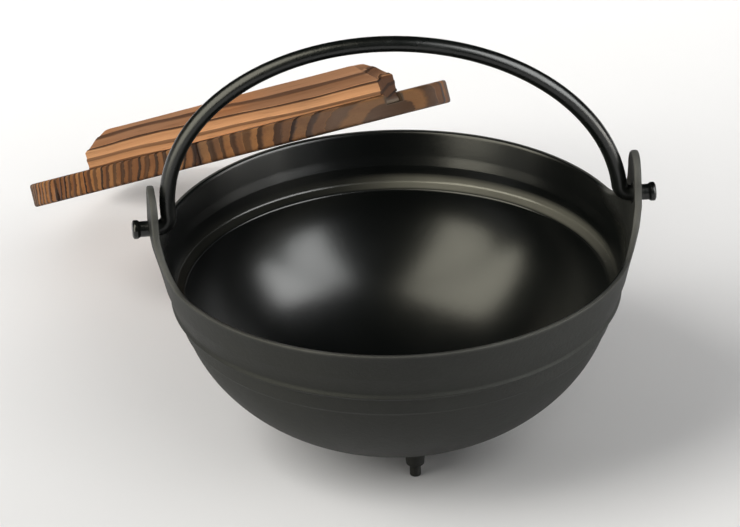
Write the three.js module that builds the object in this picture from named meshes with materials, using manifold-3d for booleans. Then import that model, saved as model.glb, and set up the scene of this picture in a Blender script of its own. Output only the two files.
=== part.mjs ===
// A round-bottomed cooking pot on three feet, with a bail handle and a plank lid that leans on its rim.
// Millimetres, +Z up. The origin is the centre of the flat underside, on the pot's axis. The ears lie on X.

import * as THREE from 'three';
import { mergeVertices } from 'three/addons/utils/BufferGeometryUtils.js';
import Module from 'manifold-3d';

const wasm = await Module();
wasm.setup();

// Driving dimensions

// Pot: rim and bowl
const rimRadius = 120;            // outside of the rim
const rimHeight = 103;            // rim above the flat underside
const rimWall = 3;
const rimRound = 0.8;
const shoulderInset = 3.8;        // the flared wall draws in from the rim to a shoulder
const shoulderDepth = 15.5;       // below the rim
const neckInset = 7.4;            // and on from the shoulder to a neck
const neckDepth = 26;             // below the rim
const bowlInset = 10;             // bowl's widest radius, in from the rim
const bowlCentreDepth = 20;       // below the rim
const bowlWall = 3.5;
const baseRadius = 17;            // flat underside
const beadDrop = 1.8;             // raised line below the neck
const bandHeight = 9.5;           // steep band below the raised line
const bandProud = 0.8;

// Pot: ledge for the lid
const ledgeInset = 7.5;           // ledge's outer radius, in from the rim
const ledgeDepth = 17;            // top of the ledge, below the rim
const ledgeSeat = 3.5;            // width of the sloped seat
const ledgeFall = 8.6;            // height of the sloped seat
const seatBlend = 1.8;            // the seat runs into the bowl over this depth

// Pot: ears and feet
const earHeight = 40;             // above the rim
const earTopRadius = 13;
const earHalfWidth = 38;          // at the rim
const earWaist = 18;              // half the width that the flanks sweep in to
const earThickness = 3.6;
const earFlare = 3.2;             // the ear leans out this far by the height of its hole
const earLag = 1.2;               // lean still to come halfway up to the hole
const earSweep = 4;               // height at which the flanks turn upwards
const earRoot = 8;                // the ear blends into the wall over this depth
const earSink = 1;                // the blended foot lies this deep in the wall
const pivotHeight = 17.5;         // ear hole above the rim
const pivotPlay = 0.5;            // radial clearance of the bar in its hole
const footCount = 3;
const footCircle = 44;            // radius of the circle the feet stand on
const footFirst = THREE.MathUtils.degToRad(-86.4);
const footDrop = 7;               // feet below the flat underside
const footRadius = 4.8;
const footTipRadius = 2.8;
const footFlatRadius = 2;
const footCollar = 1.5;           // height of the slope between tip and collar
const footRise = 26;              // collar's top, inside the bowl's wall

// Bail
const barRadius = 4;
const legGap = 2.8;               // between the bar's leg and the ear
const bailRise = 94.2;            // crown's centre line above the ear holes
const bailLean = 10;              // the crown sits this far off centre, towards -X
const bendRadius = 6;
const stubLength = 8;             // bar's end outside the ear
const headUpset = 0.8;            // the bar's end is this much fatter, so it stays in the ear
const headLength = 3.5;

// Lid
const lidPlay = 1.5;              // radial clearance inside the ledge
const lidThickness = 12;
const lidChamfer = 1.2;
const jointLeft = -36;            // board joints, along the batten
const jointRight = 56.6;
const fitGap = 0.3;               // between pieces that touch
const battenInset = 5;            // half the batten is this much shorter than the lid's radius
const battenShift = 3;            // batten's middle from the lid's middle, so one end is nearly flush
const battenWidth = 13;
const battenHeight = 18.7;        // above the boards
const battenSide = 12.5;          // upright part of the batten's side
const battenTopWidth = 8.8;
const battenEndHeight = 8.8;
const battenEndRun = 16;          // length of the bevel at each end
const dovetailDepth = 5;          // the batten's foot slides in a groove across the boards
const dovetailNeck = 10;          // foot's width at the boards' top
const dovetailSpread = 1.2;       // the foot widens by this much on each side

// How the lid leans
const leanFacing = THREE.MathUtils.degToRad(110);    // direction in which the lid slopes down
const leanSpin = THREE.MathUtils.degToRad(-64.6);    // turn of the lid in its own plane
const leanOffset = 17.5;                            // sideways from the pot's middle
const rimBite = 1;                                  // the lid reaches this far over the rim

// Fineness of the round shapes
const turnSteps = 60;
const barSides = 16;
const holeSteps = 24;
const arcSteps = 12;
const weldDistance = 1e-4;
const overshoot = 1;              // cutters run past what they cut

// Worked-out sizes

const rimInner = rimRadius - rimWall;
const shoulderRadius = rimRadius - shoulderInset;
const neckRadius = rimRadius - neckInset;
const bowlRadius = rimRadius - bowlInset;
const bowlDrop = (rimHeight - bowlCentreDepth) / Math.sqrt(1 - (baseRadius / bowlRadius) ** 2);
const ledgeRadius = rimRadius - ledgeInset;
const ledgeInner = ledgeRadius - ledgeSeat;
const pivotZ = rimHeight + pivotHeight;
const earInner = rimInner + earFlare;
const earOuter = earInner + earThickness;
const holeRadius = barRadius + pivotPlay;
const legX = earInner - legGap - barRadius;
const stubX = earOuter + stubLength;
const headRadius = barRadius + headUpset;
const lidRadius = ledgeRadius - lidPlay;
const lidUnder = lidRadius - lidChamfer;
const battenHalf = lidRadius - battenInset;
const tableZ = -footDrop;

// Solids: three.js geometry in, joined or cut, and back to geometry

function solidOf(geometry) {
  const bare = geometry.index ? geometry.toNonIndexed() : geometry.clone();
  bare.deleteAttribute('normal');
  bare.deleteAttribute('uv');
  const merged = mergeVertices(bare, weldDistance);
  return new wasm.Manifold(new wasm.Mesh({
    numProp: 3,
    vertProperties: Float32Array.from(merged.attributes.position.array),
    triVerts: Uint32Array.from(merged.index.array),
  }));
}

function geometryOf(solid) {
  const mesh = solid.getMesh();
  const geometry = new THREE.BufferGeometry();
  geometry.setAttribute('position', new THREE.BufferAttribute(mesh.vertProperties, 3));
  geometry.setIndex(new THREE.BufferAttribute(mesh.triVerts, 1));
  geometry.computeVertexNormals();
  return geometry;
}

// A solid turned about Z from an outline of [radius, height] pairs, given from the bottom up on the outside.
function turned(outline, steps = turnSteps) {
  const points = outline.map(([radius, height]) => new THREE.Vector2(radius, height));
  return new THREE.LatheGeometry(points, steps).rotateX(Math.PI / 2);
}

// A cylinder along X between two places.
function alongX(radius, from, to, y, z, steps) {
  const geometry = new THREE.CylinderGeometry(radius, radius, to - from, steps);
  return geometry.rotateZ(Math.PI / 2).translate((from + to) / 2, y, z);
}

function box(from, to) {
  const size = to.map((high, axis) => high - from[axis]);
  const geometry = new THREE.BoxGeometry(...size);
  return geometry.translate(...to.map((high, axis) => (high + from[axis]) / 2));
}

function meshOf(name, geometry, material) {
  const mesh = new THREE.Mesh(geometry, material);
  mesh.name = name;
  return mesh;
}

const materials = {
  pot: new THREE.MeshStandardMaterial({ color: 0x26282a, roughness: 0.55, metalness: 0.4 }),
  bail: new THREE.MeshStandardMaterial({ color: 0x17181a, roughness: 0.35, metalness: 0.6 }),
  board: new THREE.MeshStandardMaterial({ color: 0x9c6a42, roughness: 0.75, metalness: 0 }),
  batten: new THREE.MeshStandardMaterial({ color: 0xb9824f, roughness: 0.7, metalness: 0 }),
};

// Pot body

// Radius of the bowl's surface at a depth below the rim, inset from the outside.
function bowlAt(depth, inset) {
  const fall = (depth - bowlCentreDepth) / (bowlDrop - inset);
  return (bowlRadius - inset) * Math.sqrt(Math.max(0, 1 - fall * fall));
}

// Outside radius of the flared wall at a depth above the shoulder.
function flareAt(depth) {
  return rimRadius - shoulderInset * depth / shoulderDepth;
}

// Points of the bowl from one depth to another, evenly spaced by the angle on its arc.
function bowlArc(fromDepth, toDepth, inset) {
  const drop = bowlDrop - inset;
  const angleAt = (depth) => Math.asin(Math.min(1, (depth - bowlCentreDepth) / drop));
  const first = angleAt(fromDepth);
  const last = angleAt(toDepth);
  return Array.from({ length: arcSteps + 1 }, (unused, i) => {
    const depth = bowlCentreDepth + drop * Math.sin(first + (last - first) * i / arcSteps);
    return [bowlAt(depth, inset), rimHeight - depth];
  });
}

function insideOutline() {
  const seatDepth = ledgeDepth + ledgeFall;
  const floorDepth = bowlCentreDepth + bowlDrop - bowlWall;
  const bowl = bowlArc(floorDepth, seatDepth + seatBlend, bowlWall);
  bowl[0][0] = 0;
  return [
    ...bowl,
    [ledgeInner, rimHeight - seatDepth],
    [ledgeRadius, rimHeight - ledgeDepth],
    [rimInner, rimHeight - rimRound],
    [rimInner + rimRound, rimHeight],
  ];
}

function outsideOutline() {
  const bandTop = neckDepth + 2 * beadDrop;
  const bandFoot = bandTop + bandHeight;
  return [
    [rimRadius - rimRound, rimHeight],
    [rimRadius, rimHeight - rimRound],
    [shoulderRadius, rimHeight - shoulderDepth],
    [neckRadius, rimHeight - neckDepth],
    [neckRadius + bandProud, rimHeight - neckDepth - beadDrop],
    [bowlAt(bandTop, 0) + bandProud, rimHeight - bandTop],
    [bowlAt(bandFoot, 0) + bandProud, rimHeight - bandFoot],
    ...bowlArc(bandFoot + bandProud, rimHeight, 0),
    [0, 0],
  ];
}

function shellSolid() {
  const loop = [...insideOutline(), ...outsideOutline()].reverse();
  return solidOf(turned(loop));
}

function cavitySolid() {
  const inside = insideOutline();
  const top = inside[inside.length - 1][1];
  return solidOf(turned([...inside, [0, top]]));
}

// The ear's outline: a round top, and flanks that sweep out into the rim.
function earOutline() {
  const crown = earHeight - earTopRadius;
  const shape = new THREE.Shape();
  shape.moveTo(-earHalfWidth, -earRoot);
  shape.lineTo(-earHalfWidth, 0);
  shape.quadraticCurveTo(-earWaist, earSweep, -earTopRadius, crown);
  shape.absarc(0, crown, earTopRadius, Math.PI, 0, true);
  shape.quadraticCurveTo(earWaist, earSweep, earHalfWidth, 0);
  shape.lineTo(earHalfWidth, -earRoot);
  shape.closePath();
  return shape;
}

// Both ears: the flared wall carried on upwards, trimmed to the outline, with the bar's hole.
function earSolids() {
  const root = flareAt(earRoot) - earSink;
  const top = rimHeight + earHeight + overshoot;
  const midway = rimHeight + pivotHeight / 2;
  const ring = solidOf(turned([
    [root, rimHeight - earRoot],
    [rimRadius + rimRound, rimHeight],
    [earOuter - earLag, midway],
    [earOuter, pivotZ],
    [earOuter, top],
    [earInner, top],
    [earInner, pivotZ],
    [earInner - earLag, midway],
    [rimInner + rimRound, rimHeight],
    [root - earSink, rimHeight - earRoot],
    [root, rimHeight - earRoot],
  ]));
  const reach = 2 * (earOuter + overshoot);
  const settings = { depth: reach, bevelEnabled: false, curveSegments: arcSteps };
  const outline = new THREE.ExtrudeGeometry(earOutline(), settings);
  outline.rotateX(Math.PI / 2).rotateZ(Math.PI / 2).translate(-reach / 2, 0, rimHeight);
  const holes = solidOf(alongX(holeRadius, -reach, reach, 0, pivotZ, holeSteps));
  return ring.intersect(solidOf(outline)).subtract(holes);
}

function footSolid(angle) {
  const outline = [
    [0, tableZ],
    [footFlatRadius, tableZ],
    [footTipRadius, tableZ + (footTipRadius - footFlatRadius)],
    [footTipRadius, -footCollar],
    [footRadius, 0],
    [footRadius, footRise],
    [0, footRise],
  ];
  const geometry = turned(outline, holeSteps);
  geometry.translate(footCircle * Math.cos(angle), footCircle * Math.sin(angle), 0);
  return solidOf(geometry);
}

function potBody() {
  let feet = footSolid(footFirst);
  for (let i = 1; i < footCount; i += 1) {
    feet = feet.add(footSolid(footFirst + 2 * Math.PI * i / footCount));
  }
  const body = shellSolid().add(feet.subtract(cavitySolid())).add(earSolids());
  return meshOf('pot_body', geometryOf(body), materials.pot);
}

// Bail

// The bar's centre line: a straight end, a bend, a leaning half-ellipse, a bend and a straight end.
class BailCurve extends THREE.Curve {
  static steps = { end: 1, bend: 6, arch: 40 };

  getPoint(t, target = new THREE.Vector3()) {
    const { end, bend, arch } = BailCurve.steps;
    const total = 2 * (end + bend) + arch;
    const place = t * total;
    const side = place < total / 2 ? -1 : 1;
    const fromEnd = Math.min(place, total - place);
    if (fromEnd < end) {
      const x = stubX + (legX + bendRadius - stubX) * fromEnd / end;
      return target.set(side * x, 0, pivotZ);
    }
    if (fromEnd < end + bend) {
      const angle = (Math.PI / 2) * (fromEnd - end) / bend;
      const x = legX + bendRadius * (1 - Math.sin(angle));
      return target.set(side * x, 0, pivotZ + bendRadius * (1 - Math.cos(angle)));
    }
    const angle = Math.PI * (1 - (place - end - bend) / arch);
    const x = legX * Math.cos(angle) - bailLean * Math.sin(angle);
    return target.set(x, 0, pivotZ + bendRadius + (bailRise - bendRadius) * Math.sin(angle));
  }

  getPointAt(u, target) {
    return this.getPoint(u, target);
  }

  getTangentAt(u, target) {
    return this.getTangent(u, target);
  }
}

function bailHandle() {
  const { end, bend, arch } = BailCurve.steps;
  const section = new THREE.Shape().absarc(0, 0, barRadius, 0, 2 * Math.PI);
  const bar = new THREE.ExtrudeGeometry(section, {
    extrudePath: new BailCurve(),
    steps: 2 * (end + bend) + arch,
    curveSegments: barSides / 2,
  });
  const leftHead = solidOf(alongX(headRadius, -stubX - fitGap, headLength - stubX, 0, pivotZ, barSides));
  const rightHead = solidOf(alongX(headRadius, stubX - headLength, stubX + fitGap, 0, pivotZ, barSides));
  return meshOf('bail_handle', geometryOf(solidOf(bar).add(leftHead).add(rightHead)), materials.bail);
}

// Lid, in its own frame: underside at z 0, batten along X

const boards = [
  { name: 'lid_plank_left', from: -lidRadius - overshoot, to: jointLeft - fitGap / 2 },
  { name: 'lid_plank_middle', from: jointLeft + fitGap / 2, to: jointRight - fitGap / 2 },
  { name: 'lid_plank_right', from: jointRight + fitGap / 2, to: lidRadius + overshoot },
];

function lidDisc() {
  return solidOf(turned([
    [0, 0],
    [lidUnder, 0],
    [lidRadius, lidChamfer],
    [lidRadius, lidThickness - lidChamfer],
    [lidUnder, lidThickness],
    [0, lidThickness],
  ]));
}

// A length of one end view along X, standing on the height given.
function lengthAlongX(endView, length, base) {
  const bar = new THREE.ExtrudeGeometry(endView, { depth: length, bevelEnabled: false });
  return bar.rotateX(Math.PI / 2).rotateZ(Math.PI / 2).translate(-length / 2, 0, base);
}

// The groove that the batten's foot slides in, cut right across the boards.
function grooveSolid() {
  const neck = dovetailNeck / 2 + fitGap;
  const foot = neck + dovetailSpread;
  const end = new THREE.Shape();
  end.moveTo(-foot, -dovetailDepth - fitGap);
  end.lineTo(foot, -dovetailDepth - fitGap);
  end.lineTo(neck, 0);
  end.lineTo(neck, overshoot);
  end.lineTo(-neck, overshoot);
  end.lineTo(-neck, 0);
  end.closePath();
  return solidOf(lengthAlongX(end, 2 * (lidRadius + overshoot), lidThickness));
}

function lidBoards() {
  const disc = lidDisc().subtract(grooveSolid());
  return boards.map(({ name, from, to }) => {
    const side = lidRadius + overshoot;
    const slice = box([from, -side, -overshoot], [to, side, lidThickness + overshoot]);
    const board = disc.intersect(solidOf(slice));
    return meshOf(name, geometryOf(board), materials.board);
  });
}

// The batten is its long side view, trimmed to its end view.
function battenSolid() {
  const neck = dovetailNeck / 2;
  const foot = neck + dovetailSpread;
  const side = new THREE.Shape();
  side.moveTo(-battenHalf, -dovetailDepth);
  side.lineTo(battenHalf, -dovetailDepth);
  side.lineTo(battenHalf, battenEndHeight);
  side.lineTo(battenHalf - battenEndRun, battenHeight);
  side.lineTo(battenEndRun - battenHalf, battenHeight);
  side.lineTo(-battenHalf, battenEndHeight);
  side.closePath();
  const end = new THREE.Shape();
  end.moveTo(-foot, -dovetailDepth);
  end.lineTo(foot, -dovetailDepth);
  end.lineTo(neck, 0);
  end.lineTo(neck, fitGap);
  end.lineTo(battenWidth / 2, fitGap);
  end.lineTo(battenWidth / 2, battenSide);
  end.lineTo(battenTopWidth / 2, battenHeight);
  end.lineTo(-battenTopWidth / 2, battenHeight);
  end.lineTo(-battenWidth / 2, battenSide);
  end.lineTo(-battenWidth / 2, fitGap);
  end.lineTo(-neck, fitGap);
  end.lineTo(-neck, 0);
  end.closePath();
  const width = 2 * (battenWidth + foot);
  const sideView = new THREE.ExtrudeGeometry(side, { depth: width, bevelEnabled: false });
  sideView.rotateX(Math.PI / 2).translate(battenShift, width / 2, lidThickness);
  const endView = lengthAlongX(end, 2 * (lidRadius + overshoot), lidThickness);
  return solidOf(sideView).intersect(solidOf(endView));
}

// The lid stands on its lower edge and leans with its underside on the rim.
function leaningGroup() {
  const along = Math.sqrt((lidUnder - rimBite) ** 2 - leanOffset ** 2);
  const tilt = Math.asin((rimHeight - tableZ) / (lidUnder + along));
  const centreZ = tableZ + fitGap + lidUnder * Math.sin(tilt);
  const rimTop = rimHeight + fitGap / Math.cos(tilt);
  const reach = rimRadius - rimRound + (rimTop - centreZ) / Math.tan(tilt);
  const facing = new THREE.Group();
  facing.rotation.z = leanFacing - Math.PI / 2;
  const leaning = new THREE.Group();
  leaning.position.set(leanOffset, reach, centreZ);
  leaning.rotation.x = -tilt;
  const spinning = new THREE.Group();
  spinning.rotation.z = leanSpin;
  leaning.add(spinning);
  facing.add(leaning);
  return { facing, spinning };
}

function lid() {
  const { facing, spinning } = leaningGroup();
  spinning.add(...lidBoards());
  spinning.add(meshOf('lid_batten', geometryOf(battenSolid()), materials.batten));
  return facing;
}

const pot = new THREE.Group();
pot.add(potBody(), bailHandle(), lid());

export default pot;
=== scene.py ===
import math

import bmesh
import bpy
import numpy as np
from mathutils import Matrix, Vector, kdtree, noise


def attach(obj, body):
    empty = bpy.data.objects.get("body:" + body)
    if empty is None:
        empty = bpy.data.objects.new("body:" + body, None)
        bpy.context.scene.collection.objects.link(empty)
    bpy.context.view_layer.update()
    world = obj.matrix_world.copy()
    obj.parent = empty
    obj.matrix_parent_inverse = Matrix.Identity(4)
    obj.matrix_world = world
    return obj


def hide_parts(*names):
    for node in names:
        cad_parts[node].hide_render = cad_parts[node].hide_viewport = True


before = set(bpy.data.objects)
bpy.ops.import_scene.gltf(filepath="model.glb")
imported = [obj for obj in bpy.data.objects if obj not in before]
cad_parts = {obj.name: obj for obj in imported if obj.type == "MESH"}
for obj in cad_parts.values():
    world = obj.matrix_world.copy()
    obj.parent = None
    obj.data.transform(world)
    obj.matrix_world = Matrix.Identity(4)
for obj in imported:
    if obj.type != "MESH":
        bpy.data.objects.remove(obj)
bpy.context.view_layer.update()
mm = 0.001  # meshes are worked out in millimetres and stored in metres


# Small helpers for meshes

def smoothStep(low, high, value):
    part = np.clip((value - low) / (high - low), 0.0, 1.0)
    return part * part * (3 - 2 * part)


def band(edges, value):  # 1 between the middle two of four edges, 0 beyond the outer two
    return smoothStep(edges[0], edges[1], value) * (1 - smoothStep(edges[2], edges[3], value))


def unit(ways):  # the same ways, one long
    return ways / np.maximum(np.linalg.norm(ways, axis=-1), 1e-9)[..., None]


def curveAt(part, start, corner, end):  # a place on the curve that rounds the corner
    return (1 - part) ** 2 * start + 2 * part * (1 - part) * corner + part ** 2 * end


def newPiece(name, points, faces, material):
    mesh = bpy.data.meshes.new(name)
    mesh.from_pydata((np.asarray(points, float) * mm).tolist(), [], faces)
    mesh.materials.append(material)
    piece = bpy.data.objects.new(name, mesh)
    bpy.context.scene.collection.objects.link(piece)
    outwardNormals(piece)
    return piece


def smoothPiece(piece, sharpDegrees):
    mesh = piece.data
    mesh.validate()
    mesh.shade_smooth()
    mesh.set_sharp_from_angle(angle=math.radians(sharpDegrees))


def outwardNormals(piece):
    solid = bmesh.new()
    solid.from_mesh(piece.data)
    bmesh.ops.recalc_face_normals(solid, faces=solid.faces)
    solid.to_mesh(piece.data)
    solid.free()


def combine(piece, tool, operation):  # joins or cuts with a second closed mesh, which is then removed
    step = piece.modifiers.new("combine", "BOOLEAN")
    step.operation = operation
    step.solver = "EXACT"
    step.object = tool
    bpy.context.view_layer.update()
    graph = bpy.context.evaluated_depsgraph_get()
    result = bpy.data.meshes.new_from_object(piece.evaluated_get(graph))
    piece.modifiers.clear()
    old = piece.data
    name = old.name
    piece.data = result
    bpy.data.meshes.remove(old)
    result.name = name
    bpy.data.objects.remove(tool)


def dropSlivers(piece):  # a cut can leave folded faces of no volume
    solid = bmesh.new()
    solid.from_mesh(piece.data)
    bmesh.ops.triangulate(solid, faces=[face for face in solid.faces if len(face.verts) > 4])
    solid.verts.index_update()
    corners = {}
    for face in solid.faces:
        corners.setdefault(frozenset(point.index for point in face.verts), []).append(face)
    doubled = [face for group in corners.values() if len(group) > 1 for face in group]
    bmesh.ops.delete(solid, geom=doubled, context="FACES")
    solid.to_mesh(piece.data)
    solid.free()


def pointsOf(piece):  # a piece's own points, in millimetres
    flat = np.zeros(len(piece.data.vertices) * 3)
    piece.data.vertices.foreach_get("co", flat)
    return flat.reshape(-1, 3) / mm


def paintPoints(piece, **layers):  # each holds one number per point, for a material to read
    for name, values in layers.items():
        layer = piece.data.attributes.new(name, "FLOAT", "POINT")
        layer.data.foreach_set("value", np.asarray(values, np.float32))


def tubeFaces(rowCount, columnCount):  # quads between closed rows of points, and a face over each end
    faces = []
    for row in range(rowCount - 1):
        for column in range(columnCount):
            after = (column + 1) % columnCount
            faces.append((row * columnCount + column, row * columnCount + after,
                          (row + 1) * columnCount + after, (row + 1) * columnCount + column))
    faces.append(tuple(range(columnCount))[::-1])
    faces.append(tuple(range((rowCount - 1) * columnCount, rowCount * columnCount)))
    return faces


def ringRow(radius, angles, height):  # points round the Z axis
    return np.stack([radius * np.cos(angles), radius * np.sin(angles), height + 0 * angles], 1)


def turnedRows(path, angles):  # a row of points for each (radius, height) of the path
    return [ringRow(radius, angles, height) for radius, height in path]


def turnedMesh(outline, steps):  # points and faces of an outline of (radius, height) turned about Z
    angles = 2 * math.pi * np.arange(steps) / steps
    return np.concatenate(turnedRows(outline, angles)), tubeFaces(len(outline), steps)


def roundedPath(corners, steps=5):  # (x, y, radius) corners; each corner is rounded to its radius
    most = 0.48  # of a side, for one rounding
    path = []
    for index, (x, y, radius) in enumerate(corners):
        here = np.array((x, y), float)
        if radius <= 0 or index in (0, len(corners) - 1):
            path.append(here)
            continue
        sides = np.array([corners[index - 1][:2], corners[index + 1][:2]], float) - here
        ways = unit(sides)
        half = 0.5 * math.acos(float(np.clip(ways[0] @ ways[1], -1, 1)))
        start, end = here + ways * min(radius / math.tan(half), *(most * np.linalg.norm(sides, axis=1)))
        for step in range(steps + 1):
            path.append(curveAt(step / steps, start, here, end))
    return np.array(path)


def spread(path, gap):  # the same path with points no further apart than the gap
    dense = [path[0]]
    for first, second in zip(path[:-1], path[1:]):
        count = max(1, int(math.ceil(np.linalg.norm(second - first) / gap)))
        for step in range(1, count + 1):
            dense.append(first + (second - first) * step / count)
    return np.array(dense)


# Small helpers for materials

def newMaterial(name):
    material = bpy.data.materials.new(name)
    material.use_nodes = True
    tree = material.node_tree
    return material, tree, tree.nodes["Principled BSDF"]


def put(tree, socket, value):  # a socket takes another node's result or a plain value
    if isinstance(value, bpy.types.NodeSocket):
        tree.links.new(value, socket)
    else:
        socket.default_value = value


def scaled(colour, share):
    return tuple(part * share for part in colour[:3]) + (1,)


def addNode(tree, kind, inputs, result=0, **settings):  # gives one of the new node's results
    node = tree.nodes.new("ShaderNode" + kind)
    for name, value in settings.items():
        setattr(node, name, value)
    for socket, value in inputs.items():
        put(tree, node.inputs[socket], value)
    return node.outputs[result]


def calc(tree, operation, first, second=0.0):
    return addNode(tree, "Math", {0: first, 1: second}, operation=operation)


def weigh(tree, *pairs):  # the sum of two results, each with its share
    return calc(tree, "ADD", *(calc(tree, "MULTIPLY", result, share) for result, share in pairs))


def ease(tree, value, low, high, toLow=0.0, toHigh=1.0):
    inputs = dict(enumerate((value, low, high, toLow, toHigh)))
    return addNode(tree, "MapRange", inputs, interpolation_type="SMOOTHSTEP")


def tint(tree, share, first, second, blend="MIX"):
    inputs = {0: share, 6: first, 7: second}
    return addNode(tree, "Mix", inputs, 2, data_type="RGBA", blend_type=blend)


def vectorCalc(tree, operation, first, second, result="Vector"):
    return addNode(tree, "VectorMath", {0: first, 1: second}, result, operation=operation)


def grains(tree, vector, scale, detail=2.0, rough=0.5):
    inputs = {"Vector": vector, "Scale": scale, "Detail": detail, "Roughness": rough}
    return addNode(tree, "TexNoise", inputs, "Fac")


def painted(tree, name, result="Fac"):
    return addNode(tree, "Attribute", {}, result, attribute_name=name)


def chance(tree, value):  # a steady random share for each value
    return addNode(tree, "TexWhiteNoise", {"W": value}, "Value", noise_dimensions="1D")


def ownPlace(tree, result="Object"):
    return addNode(tree, "TexCoord", {}, result)


def raised(tree, height, distance, strength):
    return addNode(tree, "Bump", {"Height": height, "Distance": distance, "Strength": strength})


def dress(tree, shader, colour, rough, normal):
    put(tree, shader.inputs["Base Color"], colour)
    put(tree, shader.inputs["Roughness"], rough)
    put(tree, shader.inputs["Normal"], normal)


# Stage: floor, lights and camera

stageLook = {
    "floorLevel": -7.0,  # the feet stand here
    "floorRings": (60.0, 400.0, 2000.0, 30000.0),
    "floorSides": 96,
    "floorColour": (0.83, 0.825, 0.815, 1),
    "floorDim": 0.97,  # of its colour, in the darker clouds
    "floorCloud": 3.0,
    "floorRough": 0.65,
    "floorShine": 0.25,
    "airSeen": (0.93, 0.93, 0.93, 1),
    "airGlow": (0.11, 0.11, 0.115, 1),
    "airShine": (0.012, 0.014, 0.014, 1),
}


def makeFloor(look):
    material, tree, shader = newMaterial("paleFloor")
    cloudy = grains(tree, ownPlace(tree), look["floorCloud"])
    pale = look["floorColour"]
    put(tree, shader.inputs["Base Color"], tint(tree, cloudy, scaled(pale, look["floorDim"]), pale))
    shader.inputs["Roughness"].default_value = look["floorRough"]
    shader.inputs["Specular IOR Level"].default_value = look["floorShine"]
    rings = [(radius, look["floorLevel"]) for radius in look["floorRings"]]
    points, faces = turnedMesh(rings, look["floorSides"])
    floor = newPiece("floor", points, faces[:-1], material)  # without the face over its outer ring


def makeAir(look):
    world = bpy.data.worlds.new("studio")
    bpy.context.scene.world = world
    world.use_nodes = True
    tree = world.node_tree
    glow = tree.nodes["Background"]
    path = tree.nodes.new("ShaderNodeLightPath")
    lit = tint(tree, path.outputs["Is Glossy Ray"], look["airGlow"], look["airShine"])
    put(tree, glow.inputs["Color"], tint(tree, path.outputs["Is Camera Ray"], lit, look["airSeen"]))


def wayOut(azimuth, elevation=0):  # in degrees; azimuth 0 is +X, and 90 is +Y
    turn = math.radians(azimuth)
    rise = math.radians(elevation)
    return Vector((math.cos(turn) * math.cos(rise), math.sin(turn) * math.cos(rise), math.sin(rise)))


# From an azimuth and an elevation; turn swings a panel about the vertical.
# A panel lights either the shine of a surface or its matt colour.
panels = {
    "leftShine": {"from": (206, 35), "away": 1.2, "size": (1.15, 1.85), "turn": 18, "glow": 4.8,
                  "colour": (1.0, 0.965, 0.79), "lights": "shine"},
    "rightShine": {"from": (335, 32), "away": 1.4, "size": (1.15, 1.08), "turn": -30, "glow": 8.0,
                   "colour": (0.985, 1.0, 0.985), "lights": "shine"},
    "rightLow": {"from": (338, 4), "away": 1.5, "size": (1.0, 0.3), "glow": 8.0,
                 "colour": (1.0, 0.97, 0.89), "lights": "shine"},
    "leftSoft": {"from": (202, 41), "away": 4.8, "size": (2.8, 4.2), "glow": 6.1,
                 "colour": (1.0, 0.99, 0.97), "lights": "matt"},
    "frontSoft": {"from": (300, 40), "away": 2.6, "size": (2.0, 1.6), "glow": 2.1,
                  "colour": (1.0, 1.0, 0.99), "lights": "matt"},
    "backSoft": {"from": (92, 22), "away": 1.0, "size": (2.4, 0.3), "glow": 4.2,
                 "colour": (1.0, 1.0, 1.0), "lights": "matt"},
}
panelAim = Vector((0, 0, 0.06))  # the panels stand round this point


def makeLights(settings):
    for name, panel in settings.items():
        way = wayOut(*panel["from"])
        light = bpy.data.lights.new(name, "AREA")
        light.shape = "RECTANGLE"
        light.size, light.size_y = panel["size"]
        light.energy = panel["glow"] * math.pi * panel["size"][0] * panel["size"][1]
        light.color = panel["colour"]
        lamp = bpy.data.objects.new(name, light)
        lamp.visible_diffuse = panel["lights"] == "matt"
        lamp.visible_glossy = panel["lights"] == "shine"
        lamp.location = panelAim + way * panel["away"]
        facing = Matrix.Rotation(math.radians(panel.get("turn", 0)), 3, "Z") @ -way
        lamp.rotation_mode = "QUATERNION"
        lamp.rotation_quaternion = facing.to_track_quat("-Z", "Y")
        bpy.context.scene.collection.objects.link(lamp)


cameraView = {
    "turn": 6.0,  # degrees to the left of the pot's front
    "height": 28.5,  # degrees above the table
    "tilt": -1.4,
    "distance": 6.01,
    "focal": 12000.0,  # in pixels of the frame
    "frame": (740, 527),
    "rimAt": (395.2, 241.1),  # where the rim's middle falls in the frame
    "rimCentre": (0, 0, 0.103),
    "sensor": 36.0,
    "reach": 100.0,
}


def makeCamera(view):
    back = wayOut(-90 - view["turn"], view["height"])
    right = Matrix.Rotation(math.radians(view["tilt"]), 3, back) @ wayOut(-view["turn"])
    up = back.cross(right)
    pixel = view["distance"] / view["focal"]
    besideX = (view["rimAt"][0] - view["frame"][0] / 2) * pixel
    aboveY = (view["frame"][1] / 2 - view["rimAt"][1]) * pixel
    aim = Vector(view["rimCentre"]) - right * besideX - up * aboveY
    lens = bpy.data.cameras.new("camera")
    lens.sensor_width = view["sensor"]
    lens.lens = view["focal"] * view["sensor"] / view["frame"][0]
    lens.clip_end = view["reach"]
    camera = bpy.data.objects.new("camera", lens)
    turned = Matrix((right, up, back)).transposed().to_4x4()
    camera.matrix_world = Matrix.Translation(aim + back * view["distance"]) @ turned
    bpy.context.scene.collection.objects.link(camera)
    bpy.context.scene.camera = camera


bpy.context.scene.view_settings.view_transform = "Standard"
makeFloor(stageLook)
makeAir(stageLook)
makeLights(panels)
makeCamera(cameraView)
print("stage ready")


# Pot body: bowl, rim wall, ears and feet, cast in one piece

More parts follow.
